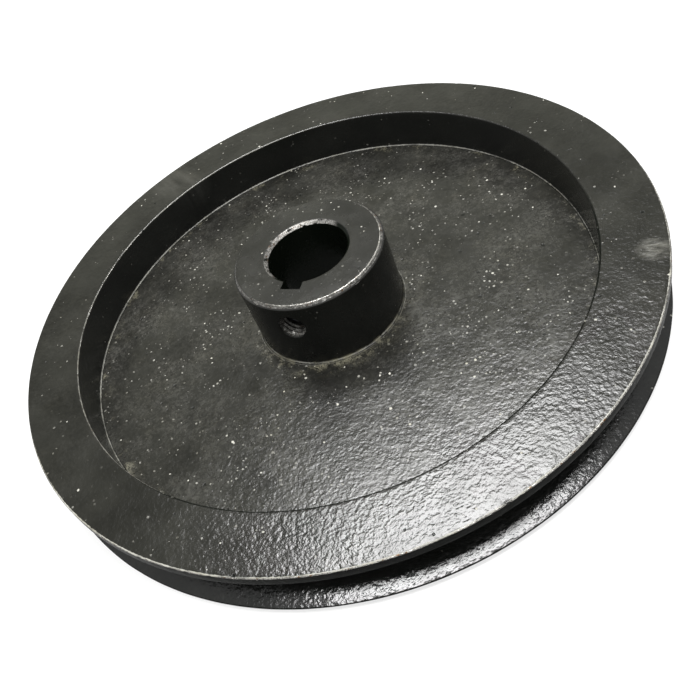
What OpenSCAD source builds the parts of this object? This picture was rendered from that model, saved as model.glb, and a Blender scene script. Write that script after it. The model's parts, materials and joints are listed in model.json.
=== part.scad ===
// Single-groove V-belt pulley, welded up from a grooved rim, a flat disc web and a turned hub.
// The hub has a plain keyed bore and one cup-point set screw, tapped through over the keyway.
// Origin: on the shaft axis, in the middle plane of the belt groove.
// +Z points to the long end of the hub. +X and +Y are radial. Units are millimetres.

/* [Rim] */
// Outside diameter of the rim, over the two lands beside the groove
outer_d = 200; // [190:1:240]
// Width of the rim along the shaft axis
rim_w = 19.2; // [18.4:0.2:22]
// Inside diameter of the rim wall, seen from the long end of the hub
rim_wall_d = 164.4; // [150:0.2:164.4]
// Chamfer on the outer corner at the back, which leaves a narrow land on that side of the groove
back_edge = 2.5; // [0.4:0.1:2.8]
// Chamfer on the rim's other corners
rim_edge = 0.4; // [0.2:0.1:0.6]

/* [Belt groove] */
// Width of the groove at the outside diameter
groove_w = 13.2; // [12:0.1:14]
// Radial depth of the groove
groove_depth = 12; // [10:0.5:12]
// Angle between the two flanks of the groove, in degrees
groove_angle = 38; // [34:1:38]

/* [Disc web] */
// Depth of the web's front face behind the front face of the rim
web_depth = 14.6; // [13:0.1:15]
// Thickness of the web
web_t = 3; // [2:0.1:3]
// How far the web reaches past the rim wall, into the seat behind it
web_lap = 1.8; // [1:0.1:2]
// Radial gap that lets the web drop into its seat and over the hub's spigot
web_gap = 0.05; // [0.02:0.01:0.1]

/* [Hub] */
// Outside diameter of the hub
hub_d = 47.7; // [45:0.1:60]
// How far the hub stands above the front face of the rim
hub_rise = 10.4; // [9:0.1:20]
// Radius of the fillet round the foot of the hub
hub_foot = 0.5; // [0.3:0.1:1.5]
// Height of the straight lip under that fillet
hub_lip = 0.2; // [0.1:0.1:0.4]
// Chamfer round the top of the hub
hub_edge = 1; // [0.4:0.1:1.5]
// Diameter of the hub's spigot, which passes through the web
spigot_d = 40; // [36:0.5:42]

/* [Bore and keyway] */
// Diameter of the shaft bore
bore_d = 25.4; // [20:0.1:26]
// Chamfer at both mouths of the bore
bore_edge = 1; // [0.4:0.1:1.5]
// Width of the keyway
key_w = 6.35; // [5:0.05:7.5]
// Distance from the shaft axis to the floor of the keyway
key_floor = 16.3; // [15.5:0.1:17]
// Direction of the keyway and the set screw round the shaft, in degrees from +X
key_angle = 232.7; // [0:0.1:360]

/* [Set screw] */
// Diameter over the crests of the screw's thread
screw_d = 7.94; // [6:0.01:8]
// Length of the screw
screw_l = 6.35; // [5:0.05:8]
// Distance between thread crests
screw_pitch = 1.41; // [1:0.01:1.5]
// Depth of the thread grooves
thread_depth = 0.45; // [0.2:0.05:0.5]
// Radial running gap between the screw and its hole
screw_gap = 0.03; // [0.02:0.01:0.08]
// Distance from the top of the hub down to the axis of the screw
screw_drop = 8.4; // [7:0.1:12]
// How far the screw's point stays outside the bore surface
screw_back = 0.25; // [0.1:0.05:1]
// Distance across the flats of the hexagon socket
socket_af = 3.97; // [2.5:0.01:4]
// Depth of the hexagon socket
socket_depth = 3.2; // [2:0.1:3.5]

/* [Welds] */
// Leg of the weld beads behind the web
weld_leg = 1.5; // [1:0.1:1.6]
// Number of separate beads that join the web to the rim
rim_welds = 6; // [3:1:12]
// Length of each of those beads, in degrees round the shaft
rim_weld_arc = 24; // [10:1:28]

/* [Hidden] */

$fn = 96;
eps = 0.01;

outer_r = outer_d / 2;
wall_r = rim_wall_d / 2;
front_z = rim_w / 2;
back_z = -rim_w / 2;

lip_z = groove_w / 2;
floor_z = lip_z - groove_depth * tan(groove_angle / 2);
floor_r = outer_r - groove_depth;

web_front = front_z - web_depth;
web_back = web_front - web_t;
seat_r = wall_r + web_lap;

hub_r = hub_d / 2;
hub_top = front_z + hub_rise;
spigot_r = spigot_d / 2;
bore_r = bore_d / 2;

screw_r = screw_d / 2;
screw_z = hub_top - screw_drop;
screw_tip = bore_r + screw_back;
hole_r = screw_r + screw_gap;
hole_chamfer = 0.35;
groove_flat = 0.18;
end_chamfer = thread_depth + 0.1;
cup_r = 2;
cup_depth = 1;
socket_r = socket_af / 2 / cos(30);

// Turns a profile drawn in (radius, z) about the shaft axis
module turned() {
    rotate_extrude($fn = 180) children();
}

// Puts a shape drawn along +Z from the shaft axis onto the axis of the set screw
module on_screw_axis() {
    translate([0, 0, screw_z])
        rotate([0, 90, key_angle])
            children();
}

// A ring of V section round the Z axis, one turn of thread, on the wall of radius r.
// depth is positive outwards and negative inwards. The flanks run a little way past the wall.
module thread_ring(r, depth) {
    half_w = screw_pitch / 2 - groove_flat / 2;
    past = 0.02;
    past_w = half_w + past * (half_w - groove_flat / 2) / abs(depth);
    rotate_extrude()
        polygon([
            [r - sign(depth) * past, -past_w],
            [r - sign(depth) * past, past_w],
            [r + depth, groove_flat / 2],
            [r + depth, -groove_flat / 2]
        ]);
}

// Grooved rim, with a shouldered seat for the web at the back
module rim() {
    color([0.10, 0.10, 0.10])
        turned()
            polygon([
                [wall_r + rim_edge, front_z],
                [outer_r - rim_edge, front_z],
                [outer_r, front_z - rim_edge],
                [outer_r, lip_z],
                [floor_r, floor_z],
                [floor_r, -floor_z],
                [outer_r, -lip_z],
                [outer_r, back_z + back_edge],
                [outer_r - back_edge, back_z],
                [seat_r + rim_edge, back_z],
                [seat_r, back_z + rim_edge],
                [seat_r, web_front],
                [wall_r, web_front],
                [wall_r, front_z - rim_edge]
            ]);
}

// Flat plate web, seated against the rim's shoulder
module web_disc() {
    color([0.12, 0.12, 0.12])
        turned()
            translate([spigot_r + web_gap, web_back])
                square([seat_r - spigot_r - 2 * web_gap, web_t]);
}

// Section of the hub: body, foot fillet and spigot
module hub_section() {
    difference() {
        polygon([
            [bore_r, back_z + bore_edge],
            [bore_r + bore_edge, back_z],
            [spigot_r, back_z],
            [spigot_r, web_front],
            [hub_r + hub_foot, web_front],
            [hub_r + hub_foot, web_front + hub_lip + hub_foot],
            [hub_r, web_front + hub_lip + hub_foot],
            [hub_r, hub_top - hub_edge],
            [hub_r - hub_edge, hub_top],
            [bore_r + bore_edge, hub_top],
            [bore_r, hub_top - bore_edge]
        ]);
        translate([hub_r + hub_foot, web_front + hub_lip + hub_foot])
            circle(r = hub_foot, $fn = 48);
    }
}

// Keyway along the whole bore
module keyway() {
    rotate([0, 0, key_angle])
        translate([0, -key_w / 2, back_z - 1])
            cube([key_floor, key_w, hub_top - back_z + 2]);
}

// Threaded hole from the keyway out through the side of the hub
module screw_hole() {
    turns = floor((hub_r - key_floor) / screw_pitch) + 1;
    on_screw_axis() {
        translate([0, 0, bore_r / 2])
            cylinder(h = hub_r, r = hole_r);
        translate([0, 0, hub_r - hole_chamfer])
            cylinder(h = 2 * hole_chamfer, r1 = hole_r, r2 = hole_r + 2 * hole_chamfer);
        for (i = [0:turns - 1])
            translate([0, 0, key_floor + (i + 0.5) * screw_pitch])
                thread_ring(hole_r, thread_depth);
    }
}

// Turned hub with its shoulder on the front of the web and its spigot through it
module hub() {
    color([0.13, 0.13, 0.13])
        difference() {
            turned() hub_section();
            keyway();
            screw_hole();
        }
}

// Section of a quarter-round fillet bead behind the web.
// The corner that it fills is at radius r, and it lies on the inner or the outer side of it.
module bead_section(r, inwards) {
    intersection() {
        translate([r, web_back]) circle(r = weld_leg, $fn = 48);
        translate([inwards ? r - weld_leg : r, web_back - weld_leg])
            square(weld_leg);
    }
}

// Short beads, evenly spaced, that join the back of the web to the rim
module rim_weld() {
    color([0.16, 0.16, 0.16])
        for (i = [0:rim_welds - 1])
            rotate([0, 0, i * 360 / rim_welds])
                rotate_extrude(angle = rim_weld_arc, $fn = 180)
                    bead_section(seat_r, true);
}

// Bead all round the hub's spigot, joining it to the back of the web
module hub_weld() {
    color([0.16, 0.16, 0.16]) turned() bead_section(spigot_r, false);
}

// Cup-point set screw, run in until its point is just outside the bore surface
module set_screw() {
    turns = floor((screw_l - 2 * end_chamfer) / screw_pitch);
    first = (screw_l - (turns - 1) * screw_pitch) / 2;
    color([0.22, 0.22, 0.23])
        on_screw_axis()
            translate([0, 0, screw_tip])
                difference() {
                    rotate_extrude()
                        polygon([
                            [0, 0],
                            [screw_r - end_chamfer, 0],
                            [screw_r, end_chamfer],
                            [screw_r, screw_l - end_chamfer],
                            [screw_r - end_chamfer, screw_l],
                            [0, screw_l]
                        ]);
                    for (i = [0:turns - 1])
                        translate([0, 0, first + i * screw_pitch])
                            thread_ring(screw_r, -thread_depth);
                    translate([0, 0, -eps])
                        cylinder(h = cup_depth, r1 = cup_r, r2 = 0.2);
                    translate([0, 0, screw_l - socket_depth])
                        cylinder(h = socket_depth + 1, r = socket_r, $fn = 6);
                }
}

rim();
web_disc();
hub();
rim_weld();
hub_weld();
set_screw();
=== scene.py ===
"""Looks for a single-groove V-belt pulley: painted rim, web, hub and weld beads, and a set screw with oil
in patches.

Lengths are in millimetres up to the moment a mesh is made, and Blender's own objects are in metres.
Angles round the shaft are in degrees from +X. The shaft axis is Z and the belt groove is centred on z = 0.
"""

import json
import math

import bmesh
import bpy
import numpy as np
from mathutils import Matrix, Vector, noise


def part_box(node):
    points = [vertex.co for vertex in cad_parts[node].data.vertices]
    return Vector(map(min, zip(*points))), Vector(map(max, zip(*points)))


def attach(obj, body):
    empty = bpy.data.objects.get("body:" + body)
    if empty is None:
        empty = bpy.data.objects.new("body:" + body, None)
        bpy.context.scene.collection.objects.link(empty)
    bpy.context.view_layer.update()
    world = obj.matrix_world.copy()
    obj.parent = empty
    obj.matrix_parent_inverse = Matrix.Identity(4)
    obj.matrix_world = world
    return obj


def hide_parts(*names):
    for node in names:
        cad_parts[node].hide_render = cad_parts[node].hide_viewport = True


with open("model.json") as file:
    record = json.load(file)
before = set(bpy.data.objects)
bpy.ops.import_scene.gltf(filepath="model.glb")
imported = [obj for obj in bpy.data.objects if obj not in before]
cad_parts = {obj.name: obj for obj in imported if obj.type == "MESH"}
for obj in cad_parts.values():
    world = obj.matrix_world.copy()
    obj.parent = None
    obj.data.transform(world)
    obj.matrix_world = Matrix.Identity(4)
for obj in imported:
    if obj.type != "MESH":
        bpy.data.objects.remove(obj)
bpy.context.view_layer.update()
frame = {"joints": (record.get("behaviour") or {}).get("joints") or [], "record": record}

MM = 0.001

# ------------------------------------------------------------------ sizes, in millimetres


def corners_of(node):
    """Lowest and highest corner of a CAD node, in millimetres."""
    low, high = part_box(node)
    return low / MM, high / MM


def mount(name):
    """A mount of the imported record."""
    return next(m for m in frame["record"]["mounts"] if m["name"] == name)


rim_low, rim_high = corners_of("rim")
web_low, web_high = corners_of("web_disc")
hub_high = corners_of("hub")[1]
hub_weld_low, hub_weld_high = corners_of("hub_weld")

OUTER_R = rim_high.x
FRONT_Z = rim_high.z
BACK_Z = rim_low.z
BACK_EDGE = 2.5
SEAT_R = corners_of("rim_weld")[1].x
SEAT_STEP = 1.8
WALL_R = SEAT_R - SEAT_STEP
WALL_LIP = 0.62

GROOVE_LIP_Z = 6.6
GROOVE_DEPTH = 12
GROOVE_HALF_ANGLE = 19
GROOVE_FLOOR_R = OUTER_R - GROOVE_DEPTH
GROOVE_FLOOR_Z = GROOVE_LIP_Z - GROOVE_DEPTH * math.tan(math.radians(GROOVE_HALF_ANGLE))

WEB_FRONT = web_high.z
WEB_BACK = web_low.z
WEB_R = web_high.x

HUB_TOP = hub_high.z
HUB_FOOT = 0.5
HUB_LIP = 0.2
HUB_R = hub_high.x - HUB_FOOT
HUB_EDGE = 1.0
WELD_LEG = hub_weld_high.z - hub_weld_low.z
SPIGOT_R = hub_weld_high.x - WELD_LEG

BORE_R = mount("bore")["dims"]["r_mm"]
BORE_EDGE = 1.0
KEY_WIDTH = 6.35
KEY_CORNER = 0.18
KEY_FLOOR = math.hypot(*mount("keyway")["pos_m"][:2]) / MM

SCREW_AXIS = Vector(frame["joints"][0]["axis"]).normalized()
KEY_ANGLE = math.degrees(math.atan2(SCREW_AXIS.y, SCREW_AXIS.x))
SCREW_Z = sum(corner.z for corner in corners_of("set_screw")) / 2
SCREW_R = 3.97
SCREW_TIP = BORE_R + 0.25
SCREW_LENGTH = 6.35
SCREW_HOLE_R = SCREW_R + 0.03
SCREW_HOLE_EDGE = 0.45
SCREW_PITCH = 1.41
THREAD_DEPTH = 0.45
SOCKET_FLATS = 3.97
SOCKET_DEPTH = 3.2

RIM_WELDS = 6
RIM_WELD_ARC = 24
RIPPLE_PITCH = 1.9

NEARLY_STRAIGHT = math.radians(89)
ARC_STEP = math.radians(18)
DIAGONAL = 0.7
RIM_COLUMNS = 864
WEB_COLUMNS = 720
WELD_COLUMNS = 720
HUB_PLAIN_COLUMNS = 332
HOLE_COLUMNS = 72
SCREW_COLUMNS = 96
THREAD_STEPS = 10

# ------------------------------------------------------------------ outlines and meshes


def rounded_loop(corners):
    """Closed outline in (r, z). A corner is (r, z, rounding, spacing of points up to the next corner)."""
    arcs = []
    for i, (r, z, rounding, _) in enumerate(corners):
        here = np.array((r, z), float)
        to_last = np.array(corners[i - 1][:2], float) - here
        to_next = np.array(corners[(i + 1) % len(corners)][:2], float) - here
        to_last /= np.linalg.norm(to_last)
        to_next /= np.linalg.norm(to_next)
        half = math.acos(np.clip(to_last @ to_next, -1, 1)) / 2
        if rounding == 0 or half > NEARLY_STRAIGHT:
            arcs.append([here])
            continue
        centre = here + (to_last + to_next) / np.linalg.norm(to_last + to_next) * rounding / math.sin(half)
        start = here + to_last * rounding / math.tan(half) - centre
        end = here + to_next * rounding / math.tan(half) - centre
        first = math.atan2(start[1], start[0])
        turn = (math.atan2(end[1], end[0]) - first + math.pi) % (2 * math.pi) - math.pi
        steps = max(2, round(abs(turn) / ARC_STEP))
        angles = first + turn * np.arange(steps + 1) / steps
        arcs.append([centre + rounding * np.array((math.cos(a), math.sin(a))) for a in angles])
    points = []
    for i, arc in enumerate(arcs):
        points += arc
        goal = arcs[(i + 1) % len(arcs)][0]
        pieces = max(1, round(float(np.linalg.norm(goal - arc[-1])) / corners[i][3]))
        points += [arc[-1] + (goal - arc[-1]) * k / pieces for k in range(1, pieces)]
    return np.array(points)


def turned(outline, degrees):
    """Grid of points, outline points by angles, from (r, z) points turned about the shaft axis."""
    a = np.radians(degrees)
    r, z = outline[..., 0], outline[..., 1]
    if outline.ndim == 2:
        r, z = r[:, None], z[:, None]
    r, z = np.broadcast_to(r, (len(outline), len(a))), np.broadcast_to(z, (len(outline), len(a)))
    return np.stack([r * np.cos(a), r * np.sin(a), z], axis=-1)


def grid_faces(rows, columns, wrap_rows, wrap_columns):
    """Quads of a grid, with their normals on the outside when the outline runs anticlockwise."""
    i = np.arange(rows if wrap_rows else rows - 1)[:, None]
    j = np.arange(columns if wrap_columns else columns - 1)[None, :]
    i2, j2 = (i + 1) % rows, (j + 1) % columns
    quads = [i * columns + j, i * columns + j2, i2 * columns + j2, i2 * columns + j]
    return np.stack(np.broadcast_arrays(*quads), axis=-1).reshape(-1, 4).tolist()


def smooth(mesh, sharp_angle):
    """Shades a mesh smooth, apart from edges that turn by more than sharp_angle degrees."""
    mesh.polygons.foreach_set("use_smooth", [True] * len(mesh.polygons))
    mesh.set_sharp_from_angle(angle=math.radians(sharp_angle))


def make_object(name, points, faces, sharp_angle=40):
    """A smooth-shaded mesh object from points in millimetres."""
    mesh = bpy.data.meshes.new(name)
    mesh.from_pydata((np.asarray(points, float).reshape(-1, 3) * MM).tolist(), [], faces)
    mesh.validate()
    smooth(mesh, sharp_angle)
    made = bpy.data.objects.new(name, mesh)
    bpy.context.scene.collection.objects.link(made)
    return made


def capped_grid(points, wrap_rows=True):
    """Points and faces of a tube of grid points, closed by a fan at its first and last column."""
    rows, columns = points.shape[:2]
    faces = grid_faces(rows, columns, wrap_rows, False)
    flat = points.reshape(-1, 3)
    ends = [points[:, 0].mean(axis=0), points[:, -1].mean(axis=0)]
    first, last = len(flat), len(flat) + 1
    for i in range(rows):
        after = (i + 1) % rows
        faces.append([first, i * columns, after * columns])
        faces.append([last, after * columns + columns - 1, i * columns + columns - 1])
    return np.vstack([flat, ends]), faces


def hollow(points, size, depth, seed):
    """Depth at each point, from 0 to depth, of soft waves of the given size."""
    shift = Vector((seed * 17.3, seed * 5.1, seed * 9.7))
    waves = [noise.noise(Vector(p) / size + shift) for p in points.reshape(-1, 3)]
    return (0.5 + 0.5 * np.clip(np.array(waves), -1, 1)).reshape(points.shape[:-1]) * depth


def sink(points, depth):
    """Moves the points of a closed grid inwards, against the surface, by depth at each point."""
    along = np.roll(points, -1, axis=0) - np.roll(points, 1, axis=0)
    around = np.roll(points, -1, axis=1) - np.roll(points, 1, axis=1)
    normal = np.cross(around, along)
    normal /= np.maximum(np.linalg.norm(normal, axis=-1, keepdims=True), 1e-9)
    return points - normal * depth[..., None]


def dents(points, places, edge_r):
    """Points with round dents pushed in and down from an edge of radius edge_r: (centre, size, depth)."""
    moved = points.copy()
    for centre, size, depth in places:
        away = np.linalg.norm(points - np.array(centre), axis=-1)
        share = np.clip(1 - (away / size) ** 2, 0, 1) ** 2
        push = -np.array((centre[0] / edge_r, centre[1] / edge_r, 1)) * DIAGONAL
        moved += share[..., None] * depth * push
    return moved


# ------------------------------------------------------------------ material nodes


WANDERS_PER_MM = 2.2
WANDER_REACH = 0.4
SPECK_SOFTNESS = 0.12
FAINTEST_SPECK = 0.25
UPRIGHT_SHARE = 0.3
MIX_NUMBER_A, MIX_NUMBER_B, MIX_NUMBER_OUT = 2, 3, 0
MIX_COLOUR_A, MIX_COLOUR_B, MIX_COLOUR_OUT = 6, 7, 2


class Shader:
    """Short forms for one material's nodes. An argument is a number, a tuple or another node's output."""

    def __init__(self, name):
        self.material = bpy.data.materials.new(name)
        self.material.use_nodes = True
        self.tree = self.material.node_tree
        self.tree.nodes.clear()
        where = self.add("ShaderNodeTexCoord").outputs["Object"]
        self.point = self.vector("SCALE", where, Scale=1 / MM)
        x, y, self.z = self.add("ShaderNodeSeparateXYZ", {"Vector": self.point}).outputs
        self.r = self.length(x, y)
        normal = self.add("ShaderNodeNewGeometry").outputs["Normal"]
        facing = self.add("ShaderNodeSeparateXYZ", {"Vector": normal}).outputs["Z"]
        self.upward = self.step(facing, 0.1, 0.8, UPRIGHT_SHARE, 1.0)
        inputs = {"Vector": self.point, "Scale": WANDERS_PER_MM, "Detail": 1.0}
        wander = self.add("ShaderNodeTexNoise", inputs).outputs["Color"]
        self.jittered = self.vector("MULTIPLY_ADD", wander, (WANDER_REACH,) * 3, **{"2": self.point})

    def add(self, kind, inputs=None, **settings):
        """A new node, with its inputs linked or set, and its settings."""
        node = self.tree.nodes.new(kind)
        for key, value in settings.items():
            setattr(node, key, value)
        for key, value in (inputs or {}).items():
            if isinstance(value, bpy.types.NodeSocket):
                self.tree.links.new(value, node.inputs[key])
            else:
                node.inputs[key].default_value = value
        return node

    def math(self, operation, a, b=0.0, c=0.0):
        """Output of a math node."""
        return self.add("ShaderNodeMath", {0: a, 1: b, 2: c}, operation=operation).outputs[0]

    def length(self, a, b):
        """Length of the hypotenuse over sides a and b."""
        return self.math("SQRT", self.math("MULTIPLY_ADD", a, a, self.math("MULTIPLY", b, b)))

    def vector(self, operation, a, b=(0, 0, 0), **inputs):
        """Output of a vector math node. A further input is given by its name, or its number as a text."""
        inputs = {int(key) if key.isdigit() else key: value for key, value in inputs.items()}
        node = self.add("ShaderNodeVectorMath", {0: a, 1: b, **inputs}, operation=operation)
        return node.outputs["Value" if operation in ("LENGTH", "DISTANCE", "DOT_PRODUCT") else "Vector"]

    def noise(self, size, detail=2.0, rough=0.5, where=None, shift=0.0):
        """Noise from 0 to 1 with features about size millimetres across. shift picks another pattern."""
        where = self.vector("ADD", where or self.point, (shift, shift * 0.37, shift * 0.71))
        inputs = {"Vector": where, "Scale": 1 / size, "Detail": detail, "Roughness": rough}
        return self.add("ShaderNodeTexNoise", inputs).outputs["Fac"]

    def specks(self, spacing, size, share, shift=0.0):
        """1 inside round specks up to size across, set about spacing apart, in that share of the cells."""
        where = self.vector("ADD", self.jittered, (shift, shift * 0.61, shift * 0.29))
        inputs = {"Vector": where, "Scale": 1 / spacing, "Randomness": 1.0}
        cells = self.add("ShaderNodeTexVoronoi", inputs)
        random = self.add("ShaderNodeSeparateColor", {"Color": cells.outputs["Color"]}).outputs
        radius = self.math("MULTIPLY", random[0], size / 2 / spacing)
        inside = self.math("SUBTRACT", radius, cells.outputs["Distance"])
        soft = self.step(inside, 0, SPECK_SOFTNESS * size / spacing)
        tone = self.math("MULTIPLY_ADD", random[2], 1 - FAINTEST_SPECK, FAINTEST_SPECK)
        chosen = self.math("LESS_THAN", random[1], share)
        return self.math("MULTIPLY", self.math("MULTIPLY", soft, tone), chosen)

    def step(self, value, low, high, to_low=0.0, to_high=1.0):
        """Smooth change from to_low to to_high while value goes from low to high."""
        inputs = {"Value": value, "From Min": low, "From Max": high, "To Min": to_low, "To Max": to_high}
        return self.add("ShaderNodeMapRange", inputs, interpolation_type="SMOOTHSTEP").outputs["Result"]

    def mix(self, share, a, b):
        """Colour a, going to b as share goes from 0 to 1."""
        a, b = (colour if isinstance(colour, bpy.types.NodeSocket) else (*colour, 1) for colour in (a, b))
        inputs = {"Factor": share, MIX_COLOUR_A: a, MIX_COLOUR_B: b}
        return self.add("ShaderNodeMix", inputs, data_type="RGBA").outputs[MIX_COLOUR_OUT]

    def blend(self, share, a, b):
        """Number a, going to b as share goes from 0 to 1."""
        return self.math("MULTIPLY_ADD", self.math("SUBTRACT", b, a), share, a)

    def ring(self, radius, height):
        """Distance in millimetres from a circle round the shaft."""
        return self.length(self.math("SUBTRACT", self.r, radius), self.math("SUBTRACT", self.z, height))

    def toward(self, degrees):
        """1 on the side of the shaft that faces the angle, falling to -1 on the other side."""
        a = math.radians(degrees)
        flat = self.vector("DOT_PRODUCT", self.point, (math.cos(a), math.sin(a), 0.0))
        return self.math("DIVIDE", flat, self.math("MAXIMUM", self.r, 0.001))

    def finish(self, colour, roughness, metallic, bumps, coat=0.0, specular=0.5, glow=0.0):
        """Principled surface. bumps are (height, depth in metres), applied one on another."""
        normal = None
        for height, depth in bumps:
            inputs = {"Height": height, "Distance": depth, "Strength": 1.0}
            if normal is not None:
                inputs["Normal"] = normal
            normal = self.add("ShaderNodeBump", inputs).outputs["Normal"]
        surface = self.add("ShaderNodeBsdfPrincipled", {
            "Base Color": colour, "Roughness": roughness, "Metallic": metallic,
            "Coat Weight": coat, "Specular IOR Level": specular,
            "Emission Color": (1, 1, 1, 1), "Emission Strength": glow,
        })
        if normal is not None:
            self.tree.links.new(normal, surface.inputs["Normal"])
        output = self.add("ShaderNodeOutputMaterial")
        self.tree.links.new(surface.outputs["BSDF"], output.inputs["Surface"])
        return self.material


BLACK_PAINT = (0.005, 0.005, 0.0042)
WORN_PAINT = (0.013, 0.013, 0.0110)
# Painted shade: darker, greenish black for groove, lands, walls and pits. The green is painted reflection.
PAINTED_SHADE_BLACK = (0.0025, 0.0032, 0.0025)
DUST = (0.46, 0.45, 0.40)
YELLOW_DUST = (0.37, 0.355, 0.29)
CLAY = (0.17, 0.158, 0.105)
BARE_STEEL = (0.52, 0.51, 0.48)
DARK_STEEL = (0.10, 0.09, 0.08)
# Painted shade: near black, with low shine, for the inside of the bore, keyway and screw hole.
BORE_SHADE_BLACK = (0.0030, 0.0042, 0.0026)
RUST = (0.13, 0.075, 0.04)
BLACK_OXIDE = (0.022, 0.022, 0.025)
WORN_OXIDE = (0.11, 0.105, 0.10)
FLOOR_TONES = ((0.22, 0.22, 0.22), (0.24, 0.24, 0.235))
PAINT_SHINE = 0.55
DULL_SHINE = 0.06
OIL_SHINE = 0.10
PIT_SHINE = 0.25
DUST_ROUGH = 0.8
CLAY_ROUGH = 0.9
GRAIN_HEIGHT = 0.05
PIT_DEPTH = 0.12
CHIP_DEPTH = 0.05


def most(s, *values):
    """The largest of several sockets."""
    top = values[0]
    for value in values[1:]:
        top = s.math("MAXIMUM", top, value)
    return top


def dirt(s, haze, crumbs):
    """Masks for a film of grey dust in patches, and for pale crumbs. Both are thinner on upright faces."""
    patches = s.step(s.noise(22, 3.0, 0.55, shift=7), 0.32, 0.72, 0.25, 1.0)
    streaks = s.step(s.noise(2.6, 4.0, 0.7, shift=23), 0.30, 0.76, 0.3, 1.0)
    grain = s.step(s.noise(0.90, 4.0, 0.8, shift=57), 0.22, 0.84)
    film = s.math("MULTIPLY", s.math("MULTIPLY", patches, streaks), s.math("MULTIPLY", grain, haze))
    crowd = s.step(s.noise(11, 3.0, 0.6, shift=91), 0.44, 0.66, 0.1, 1.0)
    fine = s.math("MULTIPLY", s.specks(1.25, 0.90, crumbs, shift=3), crowd)
    coarse = s.specks(2.5, 0.95, crumbs * 0.8, shift=77)
    grains = s.math("MAXIMUM", s.math("MULTIPLY", fine, 0.55), s.math("MULTIPLY", coarse, 0.85))
    return s.math("MULTIPLY", film, s.upward), s.math("MULTIPLY", grains, s.upward)


def dust_and_highlight_lines(s, lines):
    """1 along corners and edges with a pale line, dust and painted highlight: (distance maker, width,
    strength).
    """
    mask = 0.0
    for make, width, strength in lines:
        reach = s.math("MULTIPLY", s.noise(0.9, 2.0, 0.6, shift=width * 70), width * 2)
        line = s.step(s.math("SUBTRACT", reach, make(s)), -0.08, 0.08, 0, strength)
        broken = s.step(s.noise(6, 3.0, 0.6, shift=width * 90), 0.36, 0.56, 0.35, 1.0)
        line = s.math("MULTIPLY", line, broken)
        mask = s.math("MAXIMUM", mask, line)
    return mask


def scuffs(s, places):
    """Mask of patches rubbed across the rim's face: (azimuth, radius, size, streak width, strength)."""
    mask = 0.0
    for azimuth, radius, size, streak, strength in places:
        a = math.radians(azimuth)
        outward, around = (math.cos(a), math.sin(a), 0.0), (-math.sin(a), math.cos(a), 0.0)
        centre = (radius * outward[0], radius * outward[1], FRONT_Z)
        near = s.step(s.vector("DISTANCE", s.point, centre), size, size * 0.3)
        along = s.math("DIVIDE", s.vector("DOT_PRODUCT", s.point, outward), streak * 4)
        across = s.math("DIVIDE", s.vector("DOT_PRODUCT", s.point, around), streak)
        stretched = s.add("ShaderNodeCombineXYZ", {0: along, 1: across}).outputs[0]
        streaks = s.noise(1.0, 3.0, 0.65, where=stretched)
        rubbed = s.math("MULTIPLY", s.step(streaks, 0.28, 0.74), s.math("MULTIPLY", near, strength))
        mask = s.math("MAXIMUM", mask, rubbed)
    return mask


def worn_edges(s, edges):
    """1 where paint has chipped off along edges, which are (distance maker, width, wear from 0 to 1)."""
    metal = 0.0
    for make, width, wear in edges:
        ragged = s.math("MULTIPLY", s.noise(1.3, 3.0, 0.65, shift=width * 50), width * 2)
        run = s.step(s.noise(8, 3.0, 0.6, shift=19 + width * 9), 0.64 - 0.34 * wear, 0.66 - 0.24 * wear)
        reach = s.math("MULTIPLY", ragged, run)
        metal = s.math("MAXIMUM", metal, s.step(s.math("SUBTRACT", reach, make(s)), 0, 0.06))
    return metal


def orange_peel(s, size):
    """Height, from 0 to about 2, of the waves in the paint."""
    waves = s.noise(size, 1.0, 0.5)
    ripples = s.noise(size * 2.3, 1.0, 0.4, shift=31)
    return s.math("MULTIPLY_ADD", ripples, 0.9, waves)


def old_steel(s):
    """Colour and roughness of bare steel that is scratched, dark in places and spotted with rust."""
    scratches = s.noise(0.35, 2.0, 0.7, shift=5)
    colour = s.mix(s.step(scratches, 0.35, 0.65), DARK_STEEL, BARE_STEEL)
    colour = s.mix(s.step(s.noise(1.6, 2.0, 0.6, shift=44), 0.60, 0.68), colour, RUST)
    return colour, s.math("MULTIPLY_ADD", scratches, 0.3, 0.22)


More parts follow.
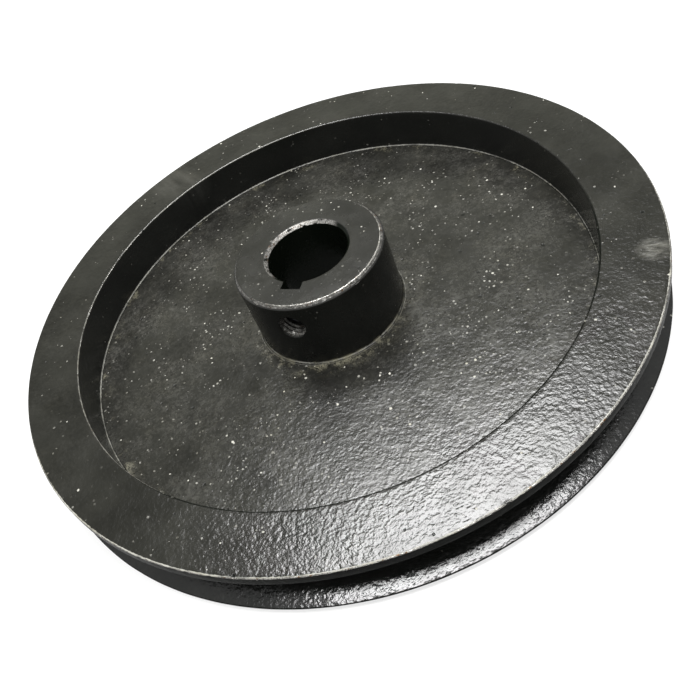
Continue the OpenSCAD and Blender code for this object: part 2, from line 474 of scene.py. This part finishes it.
def painted(name, peel, peel_depth, roughness, haze, crumbs,
            edges=(), lines=(), rubs=(), bare=None, clay=None, painted_shade=None):
    """Gloss black paint with orange peel, dust, pits, chipped edges, painted shade and painted highlight
    lines.

    peel is the size of the paint's waves. haze and crumbs are how much dust lies on it. The last three
    are makers of masks: for unpainted steel and the bore's near-black painted shade, for settled dust,
    and for painted shade, a darker colour, with duller paint."""
    s = Shader(name)
    colour = s.mix(s.step(s.noise(17, 3.0, 0.55, shift=7), 0.3, 0.7), BLACK_PAINT, WORN_PAINT)
    shine = PAINT_SHINE
    # Painted shade: a darker colour where the mask says, and duller paint.
    if painted_shade:
        shaded, dull = painted_shade(s)
        colour = s.mix(shaded, colour, PAINTED_SHADE_BLACK)
        shine = s.blend(dull, shine, DULL_SHINE)
    film, grains = dirt(s, haze, crumbs)
    # Pale edge lines here are partly dust and partly painted highlight.
    dust = most(s, film, grains, dust_and_highlight_lines(s, lines), scuffs(s, rubs))
    tint = s.mix(s.step(s.noise(7, 2.0, 0.5, shift=61), 0.4, 0.7), DUST, YELLOW_DUST)
    colour = s.mix(dust, colour, tint)
    pits = s.specks(4.2, 1.4, 0.6, shift=140)
    # The pits take a darker black, painted shade in each crater.
    colour = s.mix(pits, colour, PAINTED_SHADE_BLACK)
    shine = s.blend(pits, shine, PIT_SHINE)
    rough = s.math("MULTIPLY_ADD", s.noise(7, 3.0, 0.6, shift=13), 0.16, roughness - 0.08)
    rough = s.blend(dust, rough, DUST_ROUGH)
    if clay:
        settled = clay(s)
        colour = s.mix(settled, colour, CLAY)
        rough = s.blend(settled, rough, CLAY_ROUGH)

    metal = worn_edges(s, edges)
    steel, steel_rough = old_steel(s)
    if bare:
        bright, bore_shade = bare(s)
        metal = s.math("MAXIMUM", metal, bright)
        # The inside of the bore is painted near black as shade.
        colour = s.mix(bore_shade, colour, BORE_SHADE_BLACK)
        shine = s.blend(bore_shade, shine, OIL_SHINE)
    colour = s.mix(metal, colour, steel)
    rough = s.blend(metal, rough, steel_rough)

    coated = s.math("SUBTRACT", 1.0, metal)
    bumps = [
        (orange_peel(s, peel), s.math("MULTIPLY", coated, peel_depth * MM)),
        (s.math("MULTIPLY", grains, coated), GRAIN_HEIGHT * MM),
        (s.math("SUBTRACT", 1.0, pits), PIT_DEPTH * MM),
        (coated, CHIP_DEPTH * MM),
    ]
    return s.finish(colour, rough, s.math("MULTIPLY", metal, 0.95), bumps, specular=shine)


def edge_of(radius, height):
    """Maker of the distance from an edge that is a circle round the shaft."""
    return lambda s: s.ring(radius, height)


def edge_facing(radius, height, degrees, away=0.4):
    """The same, for an edge marked most on the side facing an angle and less on the other side."""
    return lambda s: s.math("ADD", s.ring(radius, height), s.step(s.toward(degrees), 0.7, -0.4, 0, away))


def rim_painted_shade(s):
    """Masks for painted shade in the groove, on the lands and on the wall, and for dull lands.

    Both also hold a painted dark line of shade along the wall's top edge, on the side that faces 280
    degrees."""
    under = s.step(s.z, FRONT_Z - 0.25, FRONT_Z - 0.45)
    shaded = s.math("MULTIPLY", under, s.step(s.r, WALL_R + 4.0, WALL_R + 5.0))
    dull = s.math("MULTIPLY", under, s.step(s.r, OUTER_R - 0.25, OUTER_R - 0.10))
    inner = s.step(s.r, WALL_R + 0.6, WALL_R + 0.3, 0, 0.7)
    wall = s.math("MULTIPLY", s.step(s.z, FRONT_Z - 0.5, FRONT_Z - 1.0), inner)
    # Painted dark line of shade along the wall's top edge.
    line = s.step(s.ring(WALL_R + 0.15, FRONT_Z - 0.15), 0.50, 0.34)
    line = s.math("MULTIPLY", line, s.step(s.toward(280), 0.30, 0.55))
    return most(s, shaded, wall, line), s.math("MAXIMUM", dull, line)


def rim_paint():
    """Paint of the rim, worn along its edges and rubbed in two places."""
    edges = [
        (edge_facing(OUTER_R - 0.1, FRONT_Z - 0.1, 280), 0.22, 0.7),
        (edge_facing(WALL_R + 0.1, FRONT_Z - 0.1, 180, 0.2), 0.13, 0.5),
        (edge_of(OUTER_R - BACK_EDGE, BACK_Z), 0.30, 0.6),
    ]
    # Pale lines on the outer edge, the wall's top edge and its foot: part dust, part painted highlight.
    lines = [
        (edge_facing(OUTER_R - 0.25, FRONT_Z - 0.02, 265, 0.5), 0.26, 0.60),
        (edge_facing(WALL_R + 0.1, FRONT_Z - 0.1, 140, 0.3), 0.19, 0.32),
        (edge_facing(WALL_R - 0.2, WEB_FRONT + 0.15, 105, 0.15), 0.24, 0.38),
    ]
    rubs = [(327, 96, 6.0, 1.0, 0.20), (108, 92, 16, 7, 0.06)]
    # The groove, lands and wall get painted shade.
    return painted("rim_paint", peel=0.90, peel_depth=0.088, roughness=0.20, haze=0.045, crumbs=0.16,
                   edges=edges, lines=lines, rubs=rubs, painted_shade=rim_painted_shade)


def web_paint():
    """Paint of the web, which holds the most dust."""
    # Pale line at the hub's foot: part dust, part painted highlight.
    lines = [(edge_of(HUB_R + HUB_FOOT + 0.1, WEB_FRONT), 0.16, 0.18)]
    return painted("web_paint", peel=0.90, peel_depth=0.066, roughness=0.18, haze=0.165, crumbs=0.62,
                   lines=lines, clay=web_clay)


def web_clay(s):
    """Dust that has settled round the hub and against the wall."""
    foot = s.step(s.r, HUB_R + 6.5, HUB_R + 0.8)
    foot = s.math("MULTIPLY", foot, s.step(s.noise(3.2, 3.0, 0.6, shift=71), 0.42, 0.66))
    foot = s.math("MULTIPLY", foot, s.step(s.toward(248), 0.3, 0.95, 0.2, 0.85))
    wall = s.step(s.r, WALL_R - 5.0, WALL_R - 0.5)
    wall = s.math("MULTIPLY", wall, s.step(s.noise(4.0, 3.0, 0.6, shift=72), 0.52, 0.74))
    grain = s.step(s.noise(0.5, 2.0, 0.6, shift=73), 0.35, 0.6)
    return s.math("MULTIPLY", most(s, foot, wall), s.math("MULTIPLY", grain, 0.8))


def hub_bare(s):
    """Masks for the bright chamfers and thread, and for painted shade inside the bore, keyway and hole."""
    inside = s.step(s.r, HUB_R - 0.30, HUB_R - 0.45)
    under = s.step(s.z, HUB_TOP - BORE_EDGE * 0.1, HUB_TOP - BORE_EDGE * 0.25)
    over = s.step(s.z, BACK_Z + BORE_EDGE * 0.1, BACK_Z + BORE_EDGE * 0.25)
    # The inside of the hub, painted near black as shade.
    bore_shade = s.math("MULTIPLY", inside, s.math("MULTIPLY", under, over))
    top = s.step(s.math("ABSOLUTE", s.math("SUBTRACT", s.z, HUB_TOP - BORE_EDGE / 2)), 0.62, 0.5)
    foot = s.step(s.math("ABSOLUTE", s.math("SUBTRACT", s.z, BACK_Z + BORE_EDGE / 2)), 0.62, 0.5)
    mouth = s.step(s.r, BORE_R + BORE_EDGE * 1.1, BORE_R + BORE_EDGE * 0.9)
    bright = s.math("MULTIPLY", most(s, top, foot), s.math("MULTIPLY", mouth, inside))
    bright = s.math("MULTIPLY", bright, s.step(s.toward(112), -0.05, 0.35))
    stain = s.step(s.noise(1.8, 3.0, 0.7, shift=33), 0.62, 0.50)
    thread = s.step(s.r, KEY_FLOOR + 0.1, KEY_FLOOR + 0.4)
    rubbed = s.step(s.noise(1.0, 2.0, 0.6), 0.3, 0.7, 0.1, 0.5)
    thread = s.math("MULTIPLY", s.math("MULTIPLY", thread, bore_shade), rubbed)
    bright = s.math("MAXIMUM", s.math("MULTIPLY", bright, stain), thread)
    return bright, s.math("MULTIPLY", bore_shade, s.math("SUBTRACT", 1.0, bright))


def hub_paint():
    """Paint of the hub, with bare chamfers, a bore painted near black as shade, and worn edges."""
    edges = [
        (edge_facing(HUB_R - HUB_EDGE, HUB_TOP, 300, 0.2), 0.20, 0.85),
        (edge_facing(HUB_R, HUB_TOP - HUB_EDGE, 300, 0.2), 0.10, 0.2),
    ]
    # Pale lines at the hub's top edge and foot: part dust, part painted highlight.
    lines = [
        (edge_facing(HUB_R - HUB_EDGE, HUB_TOP, 290, 0.35), 0.20, 0.4),
        (edge_facing(HUB_R + 0.15, WEB_FRONT + HUB_LIP + 0.25, 250), 0.20, 0.34),
    ]
    # The hub's side gets painted shade.
    return painted("hub_paint", peel=1.0, peel_depth=0.03, roughness=0.26, haze=0.06, crumbs=0.30,
                   edges=edges, lines=lines, bare=hub_bare, painted_shade=hub_side_shade, clay=foot_clay)


def foot_clay(s):
    """Dust that has settled on the hub's foot."""
    low = s.step(s.z, WEB_FRONT + 1.3, WEB_FRONT + 0.4)
    patches = s.step(s.noise(3.2, 3.0, 0.6, shift=71), 0.42, 0.66)
    facing = s.step(s.toward(248), 0.3, 0.95, 0.15, 0.6)
    return s.math("MULTIPLY", low, s.math("MULTIPLY", patches, facing))


def hub_side_shade(s):
    """Masks for the hub's side: painted shade, a darker colour, and duller paint."""
    side = s.step(s.z, HUB_TOP - HUB_EDGE - 0.1, HUB_TOP - HUB_EDGE - 0.5, 0, 0.6)
    return side, side


def weld_paint():
    """Paint of both welds."""
    return painted("weld_paint", peel=0.9, peel_depth=0.05, roughness=0.28, haze=0.25, crumbs=0.2)


def screw_steel():
    """Black-oxide steel, worn brighter on the thread crests, with oil in patches."""
    s = Shader("screw_steel")
    wear = s.step(s.noise(1.1, 3.0, 0.6), 0.45, 0.75)
    colour = s.mix(wear, BLACK_OXIDE, WORN_OXIDE)
    rough = s.blend(s.noise(2.2, 2.0, 0.5, shift=9), 0.22, 0.5)
    return s.finish(colour, rough, 0.9, [(s.noise(0.4, 3.0, 0.6, shift=2), 0.01 * MM)], coat=0.2)


# ------------------------------------------------------------------ pieces


def rim_piece():
    """Painted rim: lands, groove, front face, inner wall with its paint fillet, seat and back face."""
    lip = 0.03
    outline = rounded_loop([
        (WALL_R, FRONT_Z, 0.45, 1.2),
        (WALL_R, WEB_FRONT + lip, 0.5, 0.4),
        (WALL_R - WALL_LIP, WEB_FRONT + lip, 0, 1),
        (WALL_R - WALL_LIP, WEB_FRONT, 0, 1.2),
        (SEAT_R, WEB_FRONT, 0, 1.8),
        (SEAT_R, BACK_Z, 0.3, 1.6),
        (OUTER_R - BACK_EDGE, BACK_Z, 0.3, 1.0),
        (OUTER_R, BACK_Z + BACK_EDGE, 0.15, 0.3),
        (OUTER_R, -GROOVE_LIP_Z, 0.15, 1.1),
        (GROOVE_FLOOR_R, -GROOVE_FLOOR_Z, 0.6, 1.6),
        (GROOVE_FLOOR_R, GROOVE_FLOOR_Z, 0.6, 1.1),
        (OUTER_R, GROOVE_LIP_Z, 0.3, 1.0),
        (OUTER_R, FRONT_Z, 0.32, 0.9),
    ])
    points = turned(outline, np.arange(RIM_COLUMNS) * 360 / RIM_COLUMNS)
    points = sink(points, hollow(points, 5.5, 0.05, 1))
    draw = np.random.default_rng(41)
    places = []
    for _ in range(46):
        angle = math.radians(draw.uniform(196, 334) if draw.random() < 0.8 else draw.uniform(0, 360))
        radius = OUTER_R + draw.uniform(-0.2, 0.2)
        centre = (radius * math.cos(angle), radius * math.sin(angle), FRONT_Z)
        places.append((centre, draw.uniform(0.8, 1.5), draw.uniform(0.05, 0.20)))
    points = dents(points, places, OUTER_R)
    rim = make_object("rim_painted", points, grid_faces(*points.shape[:2], True, True))
    rim.data.materials.append(rim_paint())
    return rim


def web_piece():
    """Painted plate web."""
    inner = SPIGOT_R + 0.05
    outline = rounded_loop([
        (inner, WEB_FRONT, 0, 1.5),
        (inner, WEB_BACK, 0.1, 1.6),
        (WEB_R, WEB_BACK, 0.1, 1.5),
        (WEB_R, WEB_FRONT, 0, 1.2),
    ])
    points = turned(outline, np.arange(WEB_COLUMNS) * 360 / WEB_COLUMNS)
    points = sink(points, hollow(points, 6.5, 0.05, 2))
    web = make_object("web_painted", points, grid_faces(*points.shape[:2], True, True))
    web.data.materials.append(web_paint())
    return web


def keyway_columns():
    """Angles for the hub's columns, and at each the radius of the keyway or, outside it, of the bore."""
    half, corner, side = KEY_WIDTH / 2, KEY_CORNER, []
    mouth = math.sqrt(BORE_R ** 2 - half ** 2)
    for along in np.linspace(mouth, KEY_FLOOR - corner, 10):
        side.append((along, half))
    for turn in np.radians((30, 60)):
        side.append((KEY_FLOOR - corner + corner * math.sin(turn), half - corner + corner * math.cos(turn)))
    for across in np.linspace(half - corner, 0, 7):
        side.append((KEY_FLOOR, across))
    angles = [math.degrees(math.atan2(y, x)) for x, y in side]
    radii = [math.hypot(x, y) for x, y in side]
    angles = [-a for a in angles[:-1]] + angles[::-1]
    radii = radii[:-1] + radii[::-1]
    plain = np.linspace(angles[-1], 360 + angles[0], HUB_PLAIN_COLUMNS)[1:-1]
    angles = np.concatenate([angles, plain]) + KEY_ANGLE
    return angles, np.concatenate([radii, np.full(len(plain), BORE_R)])


def hub_body():
    """Grid of the hub with its bore, keyway, chamfers and foot, before the screw hole is cut.

    Up to the bore's mouth the columns follow the keyway, and from flat_from to flat_to they even out."""
    mouth = BORE_R + BORE_EDGE
    outline = rounded_loop([
        (BORE_R, HUB_TOP - BORE_EDGE, 0.12, 0.9),
        (BORE_R, BACK_Z + BORE_EDGE, 0.12, 0.5),
        (mouth, BACK_Z, 0.12, 1.2),
        (SPIGOT_R, BACK_Z, 0.25, 1.2),
        (SPIGOT_R, WEB_FRONT, 0, 1.6),
        (HUB_R + HUB_FOOT, WEB_FRONT, 0, 0.2),
        (HUB_R + HUB_FOOT, WEB_FRONT + HUB_LIP, 0, 0.2),
        (HUB_R, WEB_FRONT + HUB_LIP, HUB_FOOT * 0.98, 0.6),
        (HUB_R, HUB_TOP - HUB_EDGE, 0.18, 0.5),
        (HUB_R - HUB_EDGE, HUB_TOP, 0.18, 0.6),
        (mouth, HUB_TOP, 0.12, 0.5),
    ])
    angles, notch = keyway_columns()
    r, z = outline[:, :1], outline[:, 1:]
    flat_from, flat_to = mouth + 0.2, 18.0
    opened = np.maximum(notch + 0.2, flat_from)
    spread = opened + (r - flat_from) * (flat_to - opened) / (flat_to - flat_from)
    r = np.where(r <= flat_from, np.maximum(r, notch), np.where(r < flat_to, spread, r))
    return turned(np.stack([r, np.broadcast_to(z, r.shape)], axis=-1), angles)


def screw_frame(local):
    """Points drawn as (side, up, outwards along the screw) put in place on the hub."""
    side = np.array((-SCREW_AXIS.y, SCREW_AXIS.x, 0))
    up = np.array((0, 0, 1))
    out = np.array(SCREW_AXIS)
    return local[..., :1] * side + local[..., 1:2] * up + local[..., 2:] * out + up * SCREW_Z


def thread_wave(along, angles):
    """0 to 1 across a right-hand V thread, at each place along the screw and angle round it. 1 is a screw's
    root, and the deepest cut in the hole."""
    phase = (along / SCREW_PITCH - angles / (2 * math.pi)) % 1
    return np.clip(1.25 * (1 - np.abs(2 * phase - 1)) - 0.1, 0, 1)


def screw_hole_cutter():
    """Threaded solid that cuts the screw hole, flared at the hub's outside."""
    angles = np.arange(HOLE_COLUMNS) * 2 * math.pi / HOLE_COLUMNS
    along = np.arange(BORE_R - 2, HUB_R + 3, SCREW_PITCH / THREAD_STEPS)[:, None]
    radius = SCREW_HOLE_R + THREAD_DEPTH * thread_wave(along, angles)
    flare_from = HUB_R - SCREW_HOLE_EDGE
    flare = SCREW_HOLE_R + 0.1 + np.clip(along - flare_from, 0, 0.8)
    radius = np.where(along > flare_from, np.maximum(radius, flare), radius)
    local = np.stack([radius * np.cos(angles), radius * np.sin(angles), along + 0 * angles], axis=-1)
    points, faces = capped_grid(screw_frame(local.transpose(1, 0, 2)))
    return make_object("screw_hole_cutter", points, faces)


def outward(obj):
    """Turns a closed mesh's faces outwards."""
    shape = bmesh.new()
    shape.from_mesh(obj.data)
    bmesh.ops.recalc_face_normals(shape, faces=shape.faces)
    shape.to_mesh(obj.data)
    shape.free()


def cut_out(target, cutter):
    """Cuts the cutter out of the target for good, and removes the cutter."""
    for obj in (target, cutter):
        outward(obj)
    cut = target.modifiers.new("cut", "BOOLEAN")
    cut.operation, cut.solver, cut.object = "DIFFERENCE", "MANIFOLD", cutter
    bpy.context.view_layer.update()
    result = target.evaluated_get(bpy.context.evaluated_depsgraph_get())
    mesh = bpy.data.meshes.new_from_object(result)
    target.modifiers.clear()
    target.data = mesh
    bpy.data.objects.remove(cutter)


def hub_piece():
    """Turned hub, keyed and tapped."""
    points = hub_body()
    points = sink(points, hollow(points, 7, 0.02, 3))
    draw = np.random.default_rng(12)
    places = []
    for _ in range(16):
        angle = math.radians(draw.uniform(0, 360))
        radius = HUB_R - HUB_EDGE * 0.6
        centre = (radius * math.cos(angle), radius * math.sin(angle), HUB_TOP)
        places.append((centre, draw.uniform(0.7, 1.3), draw.uniform(0.06, 0.2)))
    points = dents(points, places, HUB_R)
    hub = make_object("hub_painted", points, grid_faces(*points.shape[:2], True, True), 30)
    cut_out(hub, screw_hole_cutter())
    smooth(hub.data, 35)
    hub.data.materials.clear()
    hub.data.materials.append(hub_paint())
    return hub


def bead_section(steps=10):
    """Outline of a fillet bead of size 1: the corner, then the round face from one leg to the other."""
    turn = np.linspace(0, math.pi / 2, steps)
    return np.vstack([[(0, 0)], np.stack([np.cos(turn), np.sin(turn)], axis=-1)])


def bead_points(corner_r, inwards, degrees, ends):
    """Grid of a rippled bead in a corner behind the web. ends is its size, 0 to 1, at each angle."""
    section = bead_section()
    across = np.linspace(-1, 1, len(section))[:, None] ** 2
    length = np.radians(degrees) * corner_r
    ripple = 0.5 + 0.5 * np.sin(length * 2 * math.pi / RIPPLE_PITCH + 2.2 * across)
    uneven = 0.04 * np.sin(length * 0.43 + 1) + 0.03 * np.sin(length * 1.13)
    size = WELD_LEG * (0.93 - 0.10 * ripple + uneven) * ends
    out = section[:, :1] * size * (-1 if inwards else 1)
    down = section[:, 1:] * size
    outline = np.stack([corner_r + out, WEB_BACK - down], axis=-1)
    return turned(outline, degrees)


def hub_weld_piece():
    """Bead all round the spigot."""
    degrees = np.arange(WELD_COLUMNS) * 360 / WELD_COLUMNS
    points = bead_points(SPIGOT_R, False, degrees, np.ones(WELD_COLUMNS))
    return make_object("hub_weld_bead", points, grid_faces(*points.shape[:2], True, True), 60)


def rim_weld_piece():
    """Short beads, evenly spaced, as one piece."""
    all_points, all_faces, count = [], [], 0
    for k in range(RIM_WELDS):
        share = np.linspace(0, 1, 140)
        degrees = k * 360 / RIM_WELDS + RIM_WELD_ARC * share
        ends = np.sqrt(np.clip(np.minimum(share, 1 - share) * 16, 0.01, 1))
        points, faces = capped_grid(bead_points(SEAT_R, True, degrees, ends))
        all_points.append(points)
        all_faces += [[index + count for index in face] for face in faces]
        count += len(points)
    return make_object("rim_weld_beads", np.vstack(all_points), all_faces, 60)


def set_screw_piece():
    """Cup-point screw with a helical thread and a hexagon socket."""
    angles = np.arange(SCREW_COLUMNS) * 2 * math.pi / SCREW_COLUMNS
    chamfer = THREAD_DEPTH + 0.1
    body = np.arange(0, SCREW_LENGTH + 0.01, SCREW_PITCH / THREAD_STEPS)[:, None]
    ends = np.minimum(body, SCREW_LENGTH - body)
    limit = SCREW_R - np.clip(chamfer - ends, 0, chamfer)
    thread = np.minimum(SCREW_R - THREAD_DEPTH * thread_wave(body + SCREW_TIP, angles), limit)
    sixth = math.pi / 3
    flat = SOCKET_FLATS / 2 / np.cos((angles + sixth / 2) % sixth - sixth / 2)
    rings = [(0.15 + 0 * angles, 1.0), (2.0 + 0 * angles, 0.0)]
    rings += [(row, float(height)) for row, height in zip(thread, body[:, 0])]
    face_r, top = thread[-1], float(body[-1, 0])
    rings += [(flat + (face_r - flat) * share, top) for share in (0.6, 0.25, 0.1)]
    rings += [(flat, top - 0.15), (flat, top - SOCKET_DEPTH / 2), (flat, top - SOCKET_DEPTH)]
    rings += [(flat * 0.1, top - SOCKET_DEPTH - 0.5)]
    local = []
    for radius, height in rings:
        level = np.full(SCREW_COLUMNS, height + SCREW_TIP)
        local.append(np.stack([radius * np.cos(angles), radius * np.sin(angles), level], axis=-1))
    local = np.stack(local)
    points, faces = capped_grid(screw_frame(local.transpose(1, 0, 2)))
    screw = make_object("set_screw_body", points, faces, 40)
    screw.data.materials.append(screw_steel())
    return screw


def place(piece, body, node):
    """Hangs a finished piece on its CAD body in place of the CAD node."""
    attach(piece, body)
    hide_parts(node)


place(rim_piece(), "pulley", "rim")
place(web_piece(), "pulley", "web_disc")
place(hub_piece(), "pulley", "hub")
place(set_screw_piece(), "set_screw", "set_screw")
weld_material = weld_paint()
for weld, node in ((rim_weld_piece(), "rim_weld"), (hub_weld_piece(), "hub_weld")):
    weld.data.materials.append(weld_material)
    outward(weld)
    place(weld, "pulley", node)

# ------------------------------------------------------------------ stage, light and camera


def floor():
    """Pale matt floor, 4 m across, at the back face of the pulley. Its glow keeps the shadows faint."""
    half, z, glow_strength = 2.0, BACK_Z * MM, 0.72
    corners = [(-half, -half, z), (half, -half, z), (half, half, z), (-half, half, z)]
    mesh = bpy.data.meshes.new("floor")
    mesh.from_pydata(corners, [], [(0, 1, 2, 3)])
    made = bpy.data.objects.new("floor", mesh)
    bpy.context.scene.collection.objects.link(made)
    s = Shader("floor")
    tone = s.mix(s.noise(60, 3.0, 0.5), *FLOOR_TONES)
    seen = s.add("ShaderNodeLightPath").outputs["Is Camera Ray"]
    glow = s.math("MULTIPLY", seen, glow_strength)
    mesh.materials.append(s.finish(tone, 0.8, 0.0, [(s.noise(0.8, 2.0, 0.5), 0.02 * MM)], glow=glow))


def direction(azimuth, elevation):
    """Unit vector at an angle round the shaft and above the rim's plane, in degrees."""
    a, e = math.radians(azimuth), math.radians(elevation)
    return Vector((math.cos(a) * math.cos(e), math.sin(a) * math.cos(e), math.sin(e)))


def softbox(name, start, end, distance, width, radiance):
    """Rectangular area light aimed at the pulley, from one direction (azimuth, elevation) to another."""
    first, last = direction(*start) * distance, direction(*end) * distance
    lamp = bpy.data.lights.new(name, "AREA")
    lamp.shape, lamp.size, lamp.size_y = "RECTANGLE", width, (last - first).length
    lamp.energy = radiance * math.pi * lamp.size * lamp.size_y
    made = bpy.data.objects.new(name, lamp)
    made.location = (first + last) / 2
    back, along = made.location.normalized(), (last - first).normalized()
    side = along.cross(back).normalized()
    made.rotation_euler = Matrix((side, back.cross(side), back)).transposed().to_euler()
    bpy.context.scene.collection.objects.link(made)


def sky(dim, bright, around):
    """World light: the part that the pulley's front reflects, brightest low on the far side, and even
    light all around that part."""
    world = bpy.data.worlds.new("studio")
    bpy.context.scene.world = world
    world.use_nodes = True
    nodes, links = world.node_tree.nodes, world.node_tree.links
    nodes.clear()
    where = nodes.new("ShaderNodeTexCoord").outputs["Generated"]

    def toward(axis, low, high, to_low=0.0, to_high=1.0):
        """Goes from to_low to to_high as the direction nears the axis. low and high are cosines."""
        dot = nodes.new("ShaderNodeVectorMath")
        dot.operation = "DOT_PRODUCT"
        dot.inputs[1].default_value = axis
        links.new(where, dot.inputs[0])
        change = nodes.new("ShaderNodeMapRange")
        limits = {"From Min": low, "From Max": high, "To Min": to_low, "To Max": to_high}
        for socket, value in limits.items():
            change.inputs[socket].default_value = value
        links.new(dot.outputs["Value"], change.inputs["Value"])
        return change.outputs[0]

    neutral, greenish = (1.0, 1.0, 1.0, 1.0), (1.0, 1.01, 0.84, 1.0)
    reflected = toward(direction(85, 40), 0.71, 0.85)
    strength = nodes.new("ShaderNodeMix")
    strength.inputs[MIX_NUMBER_A].default_value = around
    links.new(reflected, strength.inputs["Factor"])
    links.new(toward(direction(72, 10), 0.70, 0.95, dim, bright), strength.inputs[MIX_NUMBER_B])
    colour = nodes.new("ShaderNodeMix")
    colour.data_type = "RGBA"
    colour.inputs[MIX_COLOUR_A].default_value = neutral
    colour.inputs[MIX_COLOUR_B].default_value = greenish
    links.new(reflected, colour.inputs["Factor"])
    light = nodes.new("ShaderNodeBackground")
    output = nodes.new("ShaderNodeOutputWorld")
    links.new(colour.outputs[MIX_COLOUR_OUT], light.inputs["Color"])
    links.new(strength.outputs[MIX_NUMBER_OUT], light.inputs["Strength"])
    links.new(light.outputs[0], output.inputs["Surface"])


def camera():
    """Camera at the viewing angle, measured from the centre of the rim's front face."""
    distance = 2.5425 * OUTER_R * MM
    azimuth, elevation, look_down, roll = -93.91, 40.16, 42.88, -26.55
    data = bpy.data.cameras.new("camera")
    data.sensor_width, data.lens = 36.0, 42.089
    data.shift_x, data.shift_y = 0.07757, -0.033
    data.clip_start, data.clip_end = 0.01, 20
    made = bpy.data.objects.new("camera", data)
    made.location = direction(azimuth, elevation) * distance + Vector((0, 0, FRONT_Z * MM))
    tilt = Matrix.Rotation(math.radians(90 - look_down), 3, "X")
    made.rotation_euler = (tilt @ Matrix.Rotation(math.radians(roll), 3, "Z")).to_euler()
    bpy.context.scene.collection.objects.link(made)
    bpy.context.scene.camera = made


floor()
softbox("key_light", (81, 60.5), (72, 76), distance=1.10, width=0.44, radiance=14.5)
softbox("key_light_edge", (76, 57.5), (68, 79), distance=1.12, width=0.56, radiance=5.2)
softbox("key_light_halo", (70, 54), (66, 81), distance=1.14, width=0.66, radiance=1.7)
softbox("side_light", (-145, 65.5), (-28, 64), distance=1.225, width=0.20, radiance=31)
sky(dim=0.23, bright=0.52, around=0.62)
camera()
bpy.context.scene.view_settings.view_transform = "Standard"
